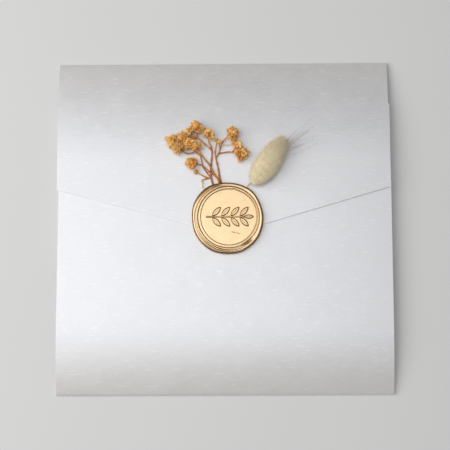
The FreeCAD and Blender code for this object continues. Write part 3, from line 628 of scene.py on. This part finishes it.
def tubes(ways, radii, sides=8):
    """Round twigs or hairs, (count, rings, 3) points with (count, rings) radii.

    Ring point k is p + r (cos a * u + sin a * v), where u and v are square to the way at p.
    A pole point half a radius beyond each end closes it."""
    count, rings = radii.shape
    ahead = unit(np.gradient(ways, axis=1))
    across = unit(np.cross(ahead, [0.0, 0.0, 1.0]) + 1e-9)
    upward = np.cross(ahead, across)
    ring = turned(across[:, :, None], upward[:, :, None],
                  np.linspace(0.0, 2.0 * np.pi, sides, endpoint=False))
    points = (ways[:, :, None] + radii[:, :, None, None] * ring).reshape(count, -1, 3)
    foot = ways[:, :1] - 0.5 * ahead[:, :1] * radii[:, :1, None]
    tip = ways[:, -1:] + 0.5 * ahead[:, -1:] * radii[:, -1:, None]
    points = np.concatenate([points, foot, tip], axis=1)
    faces = [repeated(part, count, points.shape[1]) for part in closed_grid(rings, sides)]
    return points.reshape(-1, 3), faces


def per_tube(values, sides=8):
    """A mark given at each ring, (count, rings), spread to every point of its tube."""
    spread = np.repeat(values, sides, axis=1)
    return np.concatenate([spread, values[:, :1], values[:, -1:]], axis=1).ravel()


def through(points, count):
    """A Catmull-Rom curve through points: between two of them it is a cubic whose slope at each is
    half the line between that point's neighbours."""
    points = np.array(points, float)
    padded = np.concatenate([[2 * points[0] - points[1]], points, [2 * points[-1] - points[-2]]])
    place = np.linspace(0.0, len(points) - 1.0, count)
    at = np.minimum(place.astype(int), len(points) - 2)
    before, start, end, beyond = (padded[at + step] for step in range(4))
    return hermite((place - at)[:, None], start, end, (end - before) / 2, (beyond - start) / 2)


def twig(points, thick_mm, thin_mm, tones=(0.2, 0.55)):
    """A twig whose radius runs from thick to thin, and grows by a third at each node."""
    rings = 7 * len(points)
    share = np.linspace(0, 1, rings)
    nodes = share * (len(points) - 1)
    swelling = 0.34 * np.exp(-((nodes - np.round(nodes)) / 0.13) ** 2)
    radius = (thick_mm + (thin_mm - thick_mm) * share) * (1 + swelling) * MM
    tube, faces = tubes((POSY_ORIGIN + through(points, rings) * MM)[None], radius[None])
    tone = tones[0] + (tones[1] - tones[0]) * share + 0.06 * np.sin(9.0 * share)
    return tube, faces, {"tone": per_tube(tone[None])}


# %% Blooms


def above_card(points):
    """Points pressed against the flap: a height h over the card that is under a = 0.8 mm becomes
    a exp(h / a - 1), which meets the straight part smoothly and never reaches the card."""
    card, ease = FLAP_TOP + 0.1 * MM, 0.8 * MM
    over = points[..., 2] - card
    pressed = points.copy()
    eased = ease * np.exp(np.minimum(over / ease, 1.0) - 1.0)
    pressed[..., 2] = card + np.where(over < ease, eased, over)
    return pressed


def end_of(points):
    """A twig's last point, in metres, and the way it grew there."""
    before, last = np.array(points[-2:], float)
    return POSY_ORIGIN + last * MM, unit(last - before)


def bloom(points, radius_mm):
    """One double flower head: petals on a spiral of golden-angle steps round the twig's direction.

    A petal's middle line runs out from the heart and bends towards the axis. Across it, the half
    width at a share v is B sin(pi (0.12 + 0.8 v)^0.9)^0.5, and its tip is crinkled by a sine."""
    heart, way = end_of(points)
    way = unit(way + [0.0, 0.0, 0.25])
    radius = 1.28 * radius_mm * MM
    count = int(32 + 20 * radius_mm)
    each = (slice(None), None, None)
    order = (np.arange(count) + 0.5) / count
    polar = np.radians(12.0 + 108.0 * order ** 0.75) + rng.normal(0.0, 0.09, count)
    spin = np.pi * (1 + 5 ** 0.5) * np.arange(count) + rng.normal(0.0, 0.25, count)
    side = unit(np.cross(way, [0.3, 0.2, 1.0]))
    other = np.cross(way, side)
    out = turned(way, turned(side, other, spin), polar)
    across = unit(unit(np.cross(out, way) + 1e-6) + 0.35 * rng.normal(size=(count, 3)))
    across = unit(across - out * np.sum(across * out, axis=1, keepdims=True))
    inward = np.cross(across, out)
    inward *= np.sign(np.sum(inward * way, axis=1, keepdims=True) + 1e-9)
    across, out, inward = (ways[each] for ways in (np.cross(out, inward), out, inward))
    lobes = (1 + 0.16 * np.sin(polar) * np.sin(2.0 * spin + rng.uniform(0, 6))
             + 0.08 * np.sin(5.0 * spin))
    long = radius * lobes * rng.uniform(0.78, 1.08, count)
    wide = radius * rng.uniform(0.3, 0.5, count)
    v = np.linspace(0, 1, 5)[:, None]
    u = np.linspace(-1.0, 1.0, 4)
    half = wide[each] * np.sin(np.pi * (0.12 + 0.8 * v) ** 0.9) ** 0.5
    curl = rng.uniform(-0.1, 0.4, count)[each] * radius * v ** 2
    cup = 0.45 * half * u ** 2
    crinkle = 0.1 * radius * v ** 2 * np.sin(4.0 * u + rng.uniform(0, 6, count)[each])
    reach = long[each] * (0.3 + 0.7 * v) + 0.0 * u
    middle = (heart + out * reach[..., None] + across * (half * u)[..., None]
              + inward * (curl + cup + crinkle)[..., None])
    thick = 0.035 * MM
    petals, faces = shells(middle + thick * inward, middle - thick * inward)
    tone = 0.3 + rng.uniform(-0.12, 0.2) + 0.6 * (v + 0.0 * u) + rng.normal(0.0, 0.13, count)[each]
    tone = np.tile(np.clip(tone, 0.0, 1.0).reshape(count, -1), (1, 2)).ravel()
    return above_card(petals), faces, {"tone": tone, "petal": np.ones(len(petals))}


def calyx(points, radius_mm):
    """The cup under a bloom: a short tube that opens like a bell."""
    end, way = end_of(points)
    share = np.linspace(0, 1, 6)
    line = end + way * (share[:, None] * 1.1 - 0.95) * radius_mm * MM
    radius = (0.16 + 0.42 * share ** 1.6) * radius_mm * MM
    tube, faces = tubes(line[None], radius[None], sides=10)
    return above_card(tube), faces, {"tone": np.full(len(tube), 0.3)}


# %% The three sprigs


def make_sprig(side, sprig, bare_twigs=()):
    """A stem and its side twigs, with a calyx and a bloom on the end of each, and some bare twigs."""
    patches = []
    for number, (radius, points) in enumerate(sprig):
        thick = STEM_RADIUS if number == 0 else 0.62 * STEM_RADIUS
        patches += [twig(points, thick, 0.48 * STEM_RADIUS), calyx(points, radius),
                    bloom(points, radius)]
    patches += [twig(*bare) for bare in bare_twigs]
    make_piece("amber_sprig_" + side, "sprig_" + side, patches, sharp=50)


HOOK = [(-8.9, 17.9, 0.5), (-10.4, 17.6, 0.8), (-11.5, 17.0, 1.0), (-11.1, 16.0, 0.9),
        (-11.2, 13.7, 0.6)]
SIDE_TWIG = [(-7.3, 18.0, 0.7), (-9.2, 20.6, 0.9), (-10.9, 23.2, 1.2), (-11.9, 27.4, 1.4),
             (-13.6, 30.4, 1.9)]
CURL = [(-1.9, 33.0, 1.3), (0.4, 33.0, 1.5), (3.0, 33.0, 1.5)]
make_sprig("left", LEFT_SPRIG)
make_sprig("centre", CENTRE_SPRIG, [(HOOK, 0.3, 0.2, (0.3, 1.1)), (SIDE_TWIG, 0.27, 0.2)])
make_sprig("right", RIGHT_SPRIG, [(CURL, 0.16, 0.12, (0.75, 1.0))])

# %% [markdown]
# ## The bunny-tail grass
#
# A bunny tail is a dense egg of tiny spikelets, each wrapped in soft hairs that lie towards the tip,
# and those at the top carry awns, which are long bristles. Blender's hair system is lost when a model
# is exported, so the hairs are real: thousands of three-sided spikes, each with a bend, rooted on an
# egg-shaped body.

# %% The grass head
GRASS_STEM = [(6.0, 11.0, 1.0), (8.3, 14.2, 1.2), (10.1, 16.0, 2.8), (12.9, 18.6, 5.2)]
HEAD_BASE = POSY_ORIGIN + np.array([11.3, 14.9, 4.5]) * MM
HEAD_WAY = unit(np.array([14.0, 20.2, 0.8]))
HEAD_LENGTH = 23.8 * MM
HEAD_HALF = 5.5 * MM
HEAD_SIDE = unit(np.cross(HEAD_WAY, [0.0, 0.0, 1.0]))
HEAD_UP = np.cross(HEAD_SIDE, HEAD_WAY)


def head_point(along, spin):
    """A point on the body: at a share of its length, and round it by spin, with a slight bend.

    The body is blunt at both ends and widest in the middle. It lies on the card by its own weight,
    so it is a fifth less high than it is wide."""
    out = turned(HEAD_SIDE, HEAD_UP, spin)
    bend = 0.9 * MM * (along - along ** 2)
    axis = HEAD_BASE + (along * HEAD_LENGTH)[..., None] * HEAD_WAY + bend[..., None] * HEAD_SIDE
    radius = HEAD_HALF * np.sin(np.pi * along ** 0.85) ** 0.58 * (1 - 0.08 * along)
    return axis + ((1 - 0.22 * np.sin(spin) ** 2) * radius)[..., None] * out, out


def head_body(rings=60, sides=64):
    """The body under the hairs, lumpy where the spikelets are packed."""
    along, spin = np.broadcast_arrays(np.linspace(0.004, 0.996, rings)[:, None],
                                      np.linspace(0.0, 2.0 * np.pi, sides, endpoint=False))
    point, out = head_point(along, spin)
    lumps = 0.1 * MM * np.sin(34.0 * along + 5 * spin) * np.sin(7 * spin - 19.0 * along)
    point = point + (lumps * np.sin(np.pi * along))[..., None] * out
    points = np.concatenate([point.reshape(-1, 3), [HEAD_BASE, HEAD_BASE + HEAD_LENGTH * HEAD_WAY]])
    return points, closed_grid(rings, sides, flip=True), {"along": np.append(along, [0.0, 1.0])}


print("head", HEAD_LENGTH / MM, "mm long and", 2 * HEAD_HALF / MM, "mm wide")

# %% The hairs


def hairs(count, low, high, length_mm, spread, thick_mm):
    """Hairs rooted between two shares of the head's length, laid towards its tip.

    Each starts along a mix of the surface's normal and the head's axis, and ends more along the
    axis: point(v) = root + L (v (1 - v/2) start + v^2 / 2 end)."""
    along = rng.uniform(low, high, count)
    root, out = head_point(along, rng.uniform(0.0, 2.0 * np.pi, count))
    start = unit(spread * out + HEAD_WAY + 0.18 * rng.normal(size=(count, 3)))[:, None]
    end = unit(0.35 * spread * out + HEAD_WAY + 0.3 * rng.normal(size=(count, 3)))[:, None]
    long = (length_mm * MM * rng.uniform(0.55, 1.15, count))[:, None, None]
    v = np.array([0.0, 0.5, 1.0])[:, None]
    way = (root - 0.25 * MM * out)[:, None] + long * (v * (1 - v / 2) * start + v ** 2 / 2 * end)
    radius = thick_mm * MM * np.array([1.0, 0.8, 0.25]) * rng.uniform(0.8, 1.2, count)[:, None]
    tube, faces = tubes(way, radius, sides=3)
    marks = {"along": per_tube(np.repeat(along[:, None], 3, axis=1), 3),
             "tip": per_tube(np.tile([0.0, 0.5, 1.0], (count, 1)), 3),
             "facing": np.repeat(unit(out + [0.0, 0.0, 0.8]), len(tube) // count, axis=0)}
    return above_card(tube), faces, marks


def awns(count):
    """Long bristles from the head's upper part, which fan out to the right and sink to the card."""
    root, _ = head_point(rng.uniform(0.62, 0.97, count), rng.uniform(-1.2, 1.2, count))
    leftward = np.array([-HEAD_WAY[1], HEAD_WAY[0], 0.0])
    flat = turned(HEAD_WAY, leftward, np.radians(rng.uniform(-36.0, 4.0, count)))
    long = (rng.uniform(9.0, 19.0, count) * MM)[:, None, None]
    v = np.linspace(0, 1, 6)[:, None]
    way = root[:, None] + long * v * (flat[:, None] + np.array([0.0, 0.0, -0.3]) * v)
    tube, faces = tubes(way, np.tile(0.07 * MM * np.linspace(1.0, 0.4, 6), (count, 1)), sides=3)
    return above_card(tube), faces, {"along": np.full(len(tube), 0.6), "awn": np.ones(len(tube))}


# Each kind of hair: how many, from and to which share of the head, their length in millimetres, how
# far they stand out, and their radius in millimetres.
COATS = [
    (4900, 0.0, 0.98, 2.8, 0.4, 0.034),  # the coat
    (1100, 0.04, 0.3, 1.9, 1.3, 0.032),  # the round foot
    (1000, 0.0, 0.1, 1.3, 3.5, 0.03),  # the foot's fringe
    (1400, 0.72, 0.99, 3.4, 0.7, 0.026),  # the brush at the tip
    (1400, 0.1, 0.95, 2.4, 1.8, 0.018),  # the down
]
# The stem takes the colour of the head's foot.
stem, stem_faces, _ = twig(GRASS_STEM, 0.4, 0.34)
make_piece("soft_grass", "bunny_tail",
           [head_body(), (stem, stem_faces, {"along": np.zeros(len(stem))}),
            *(hairs(*coat) for coat in COATS), awns(16)])

# %% [markdown]
# ## Building materials from nodes
#
# A material here is written as a list of nodes, each with its inputs beside it: an input is either a
# number or the output of a node before it. Effects that several finishes share are node groups.

# %% Node helpers


def fill(item, inputs):
    """Sets or links a node's inputs, named or numbered."""
    for name, value in inputs.items():
        if isinstance(value, bpy.types.NodeSocket):
            item.id_data.links.new(value, item.inputs[name])
        else:
            item.inputs[name].default_value = value


def add(beside, kind, inputs, output=0, **settings):
    """Adds a node to the tree that a node or socket is in, and gives back one of its outputs."""
    item = beside.id_data.nodes.new("ShaderNode" + kind)
    for name, value in settings.items():
        setattr(item, name, value)
    fill(item, inputs)
    return item.outputs[output]


def arithmetic(operation):
    """A function that joins an output and a number, or two outputs, by an operation."""
    return lambda first, second: add(first, "Math", {0: first, 1: second}, operation=operation)


times, plus, divided = (arithmetic(operation) for operation in ("MULTIPLY", "ADD", "DIVIDE"))


def between(value, low, high):
    """How far a value is on the way from low to high, from 0 to 1."""
    return add(value, "MapRange", {0: value, 1: low, 2: high})


def noise(where, scale, detail, **more):
    """Noise at a place, from 0 to 1."""
    return add(where, "TexNoise", {"Vector": where, "Scale": scale, "Detail": detail, **more})


def mark(beside, name):
    """A mark that was stored at each point of the mesh."""
    return add(beside, "Attribute", {}, "Fac", attribute_name=name)


def blend(factor, first, second):
    """From the first colour to the second as the factor goes from 0 to 1."""
    first, second = ((*end, 1.0) if isinstance(end, tuple) else end for end in (first, second))
    return add(factor, "Mix", {0: factor, 6: first, 7: second}, 2, data_type="RGBA")


# %% Ramps and groups


def ramp(factor, *stops):
    """Colours at given places along a factor, and even blends between them."""
    last = stops[-1][0]
    colours = add(factor, "ValToRGB", {"Fac": divided(factor, last)})
    elements = colours.node.color_ramp.elements
    while len(elements) < len(stops):
        elements.new(0.5)
    for element, (place, colour) in zip(elements, stops):
        element.position, element.color = place / last, (*colour, 1.0)
    return colours


def new_group(name, *outputs):
    """A node group with a place and a scale, and its two ends."""
    group = bpy.data.node_groups.new(name, "ShaderNodeTree")
    for title, way, kind in (("Vector", "INPUT", "Vector"), ("Scale", "INPUT", "Float"),
                             *((title, "OUTPUT", "Float") for title in outputs)):
        group.interface.new_socket(title, in_out=way, socket_type="NodeSocket" + kind)
    given = group.nodes.new("NodeGroupInput").outputs
    return group, given["Vector"], given["Scale"], group.nodes.new("NodeGroupOutput")


def use(group, where, scale):
    """Places a group in a material, and gives back its outputs."""
    return add(where, "Group", {"Vector": where, "Scale": scale}, node_tree=group).node.outputs


# %% Materials and their shaders


def new_material(name, **constants):
    """A material, its Principled shader with its plain values, and the place on the object."""
    material = bpy.data.materials.new(name)
    material.use_nodes = True
    shader = material.node_tree.nodes["Principled BSDF"]
    fill(shader, {socket.replace("_", " "): value for socket, value in constants.items()})
    return material, shader, add(shader, "TexCoord", {}, "Object")


def dress(shader, colour, height, strength, depth_mm, **more):
    """Gives a shader its colour and a bump of a height."""
    relief = add(shader, "Bump", {"Strength": strength, "Distance": depth_mm * MM, "Height": height})
    fill(shader, {"Base Color": colour, "Normal": relief, **more})


# %% [markdown]
# ### Two shared effects
#
# Pearl card is brushed with its coating in one direction, so it carries short level streaks, and
# plain paper has the same grain more weakly, with soft clouds where fibres bunch. The first group
# stretches one noise along X for the streaks and leaves another round for the clouds. The second
# group is for what grew, dried or set unevenly.

# %% The node groups
# Streak, Cloud and the sparse Fleck run from 0 to 1, and Height is for a bump.
level_grain, where, scale, end = new_group("level_grain", "Streak", "Cloud", "Fleck", "Height")
level = add(where, "VectorMath", {0: where, 1: (1 / 6.5, 1.0, 1.0)}, operation="MULTIPLY")
streak = noise(level, scale, 3.0, Roughness=0.6, Distortion=0.15)
fill(end, {"Streak": between(streak, 0.3, 0.7),
           "Cloud": between(noise(where, 120.0, 4.0, Roughness=0.55), 0.3, 0.7),
           "Fleck": between(noise(level, times(scale, 0.8), 1.0), 0.63, 0.73),
           "Height": plus(times(streak, 0.75), times(noise(where, 5200.0, 2.0), 0.25))})
# Mottle and Fine are two sizes of blotch, from 0 to 1.
mottle, where, scale, end = new_group("mottle", "Mottle", "Fine")
fill(end, {"Mottle": between(noise(where, scale, 3.0, Roughness=0.6), 0.3, 0.7),
           "Fine": between(noise(where, times(scale, 7.0), 2.0), 0.3, 0.7)})
print("node groups:", level_grain.name, mottle.name)

# %% [markdown]
# ### Pearl card
#
# The coating is mica, so the card is a cool white with a satin gleam rather than a gloss: part of
# the light comes back as from soft metal. The cut edge shows the plain white core, and the coating
# is rubbed a little at the folds. Two marks are painted light: a warmer, darker tone where the card
# slopes towards its folds is painted shade, and a pale line along the flap's left V edge is a
# painted highlight.

# %% The card materials


def card_material(name, pale, deep, core, scale, bump, roughness, slope_shade_tint=None, **constants):
    """A card whose grain shifts its tone, its roughness and its height. Its slope tint is painted shade,
    and its cut mark gives cut edges the core's colour and one edge a painted highlight.
    """
    material, shader, where = new_material(name, **constants)
    grain = use(level_grain, where, scale)
    mixed = plus(times(grain["Streak"], 0.6), times(grain["Cloud"], 0.4))
    colour = blend(mixed, deep, pale)
    # Painted shade: the card turns warmer and a little darker where it slopes towards its folds.
    colour = blend(times(mark(shader, "lean"), 0.8), colour, slope_shade_tint or core)
    colour = blend(times(grain["Fleck"], 0.35), colour, (0.97, 0.97, 0.98))
    colour = blend(times(times(mark(shader, "fold"), grain["Streak"]), 0.5), colour, core)
    # The core's white on cut edges, and a painted highlight along the flap's left V edge.
    colour = blend(mark(shader, "cut"), colour, core)
    height = plus(grain["Height"], times(grain["Fleck"], 0.6))
    dress(shader, colour, height, bump, 0.03, Roughness=plus(times(mixed, 0.14), roughness))
    return material


pearl_card = card_material("pearl_card", (0.775, 0.78, 0.805), (0.71, 0.715, 0.74), (0.93, 0.93, 0.93),
                           1900.0, 0.3, 0.34, slope_shade_tint=(0.775, 0.745, 0.71), Metallic=0.4)
insert_card = card_material("insert_card", (0.88, 0.87, 0.84), (0.82, 0.81, 0.78), (0.86, 0.85, 0.82),
                            900.0, 0.2, 0.75)
envelope_paper = card_material("envelope_paper", (0.85, 0.84, 0.8), (0.77, 0.76, 0.72),
                               (0.85, 0.84, 0.8), 700.0, 0.3, 0.8)
print("papers:", pearl_card.name, insert_card.name, envelope_paper.name)

# %% [markdown]
# ### Gold wax
#
# The gold is mica powder in the wax, and flat wax mirrors the light. On steep steps, in the grooves
# and along the outlines the colour is painted dark brown as painted shade, so it follows the slope,
# which the mesh carries as a mark.

# %% The wax material
# Champagne gold with a faint mottling and a slightly dimpled skin, painted dark brown on the steep and
# in the lines as painted shade.
gold_wax, shader, where = new_material("gold_wax", Metallic=1.0,
                                       Specular_Tint=(0.75, 0.5, 0.25, 1.0))
blotch = use(mottle, where, 260.0)
gold = blend(blotch["Mottle"], (0.71, 0.525, 0.31), (0.77, 0.575, 0.35))
# Painted shade: dark brown on steep slopes, grooves, outlines and the upper left wall.
colour = blend(mark(shader, "steep"), gold, (0.23, 0.085, 0.0))
height = plus(blotch["Mottle"], times(blotch["Fine"], 0.15))
dress(shader, colour, height, 0.08, 0.05, Roughness=plus(times(blotch["Fine"], 0.05), 0.36))
print("wax:", gold_wax.name)

# %% [markdown]
# ### Dried plants
#
# Preserved flowers go the colour of amber: rust brown in the stems and the hearts, ochre at the
# petals' edges. The grass stays cream, and paler where its hairs end.

# %% The flower material
# Petals go from rust at the heart to ochre at the edge. Twigs are rust, paler where tone is high.
dried_flower, shader, where = new_material(
    "dried_flower", Roughness=0.6, Subsurface_Weight=0.08,
    Subsurface_Radius=(1.0, 0.6, 0.3), Subsurface_Scale=0.3 * MM)
blotch = use(mottle, where, 900.0)
tone = plus(mark(shader, "tone"), times(blotch["Mottle"], 0.2))
petal = ramp(tone, (0.12, (0.52, 0.165, 0.013)), (0.45, (1.0, 0.45, 0.085)),
             (1.05, (1.0, 0.72, 0.3)))
wood = ramp(tone, (0.2, (0.34, 0.085, 0.008)), (0.65, (0.76, 0.32, 0.05)),
            (1.1, (0.75, 0.6, 0.35)))
dress(shader, blend(mark(shader, "petal"), wood, petal), blotch["Fine"], 0.4, 0.05)
print("plants:", dried_flower.name)

# %% The grass material
# Cream, paler at the hairs' tips, with sparse dark flecks where spikelets show, and browner awns.
# Towards the head's tip it is also painted paler: painted light on the part that faces away from the
# window.
dried_grass, shader, where = new_material(
    "dried_grass", Roughness=0.8, Sheen_Weight=1.0, Subsurface_Weight=0.08,
    Subsurface_Radius=(1.0, 0.85, 0.65), Subsurface_Scale=0.8 * MM)
blotch = use(mottle, where, 420.0)
light = (1.0, 0.87, 0.62)
colour = blend(blotch["Mottle"], (1.0, 0.80, 0.48), (1.0, 0.86, 0.57))
# Painted light: paler over the head's last two fifths, which would be in shade.
colour = blend(times(between(mark(shader, "along"), 0.6, 1.0), 0.35), colour, light)
colour = blend(times(mark(shader, "tip"), 0.6), colour, light)
spots = add(where, "TexVoronoi", {"Vector": where, "Scale": 330.0}, "Distance", feature="F1")
colour = blend(times(between(spots, 0.13, 0.06), 0.35), colour, (0.3, 0.22, 0.12))
colour = blend(mark(shader, "awn"), colour, (0.66, 0.55, 0.37))
dress(shader, colour, blotch["Fine"], 0.3, 0.05)
print("plants:", dried_grass.name)

# %% [markdown]
# ### Every piece takes its finish
#
# The invitation, the two cards and the reply envelope are the CAD model's own nodes: their shape is
# right, and only their edges show. They keep their meshes and take a paper finish.

# %% The finishes
FINISHES = {
    insert_card: ["invitation_card", "details_card", "reply_card"],
    envelope_paper: ["reply_envelope"],
    pearl_card: ["folded_card"],
    gold_wax: ["poured_seal"],
    dried_grass: ["soft_grass"],
    dried_flower: ["amber_sprig_left", "amber_sprig_centre", "amber_sprig_right"],
}
for material, names in FINISHES.items():
    for name in names:
        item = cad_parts.get(name) or bpy.data.objects[name]
        item.data.materials.clear()
        item.data.materials.append(material)
    print(material.name, "on", ", ".join(names))

# %% [markdown]
# ## The table, the light and the camera
#
# The folder lies on a plain pale table under two soft lights: a square one overhead, and a wide
# window high on the left, which throws the shadow to the right. A dim room fills the rest. Pearl card
# and gold both show what they face, so the lights' sizes make their gleam. The camera looks straight
# down, tipped a few degrees.

# %% The table
TABLE_HALF = 3.0
table_mesh = bpy.data.meshes.new("table")
table_corners = [(x * TABLE_HALF, y * TABLE_HALF, 0) for x, y in ((-1, -1), (1, -1), (1, 1), (-1, 1))]
table_mesh.from_pydata(table_corners, [], [(0, 1, 2, 3)])
table = new_object("table", table_mesh)
table.location.z = -0.05 * MM
table_finish, *_ = new_material("table", Roughness=0.9, Base_Color=(0.765, 0.763, 0.757, 1.0))
table_mesh.materials.append(table_finish)

# %% The lights


def area_light(name, place, size, power):
    """A square soft light that faces the middle of the table."""
    light = bpy.data.lights.new(name, "AREA")
    light.size = size
    light.energy = power
    item = new_object(name, light)
    item.location = place
    item.rotation_euler = (-Vector(place)).to_track_quat("-Z", "Y").to_euler()


area_light("overhead", (-0.03, -0.01, 0.9), 0.5, 1.55)
area_light("window", (-0.6, 0.03, 0.62), 0.8, 5.0)
world = bpy.data.worlds.new("room")
bpy.context.scene.world = world
world.use_nodes = True
fill(world.node_tree.nodes["Background"], {"Color": (1.0, 1.0, 1.0, 1.0), "Strength": 0.25})

# %% The camera
camera = bpy.data.cameras.new("camera")
camera.lens = 80.0
camera.sensor_width = 36.0
eye = new_object("camera", camera)
eye.location = (5.67 * MM, -42.39 * MM, 450.03 * MM)
eye.rotation_euler = Euler((math.radians(5.509), math.radians(0.694), math.radians(-0.259)), "XYZ")
bpy.context.scene.camera = eye
bpy.context.scene.view_settings.view_transform = "Standard"
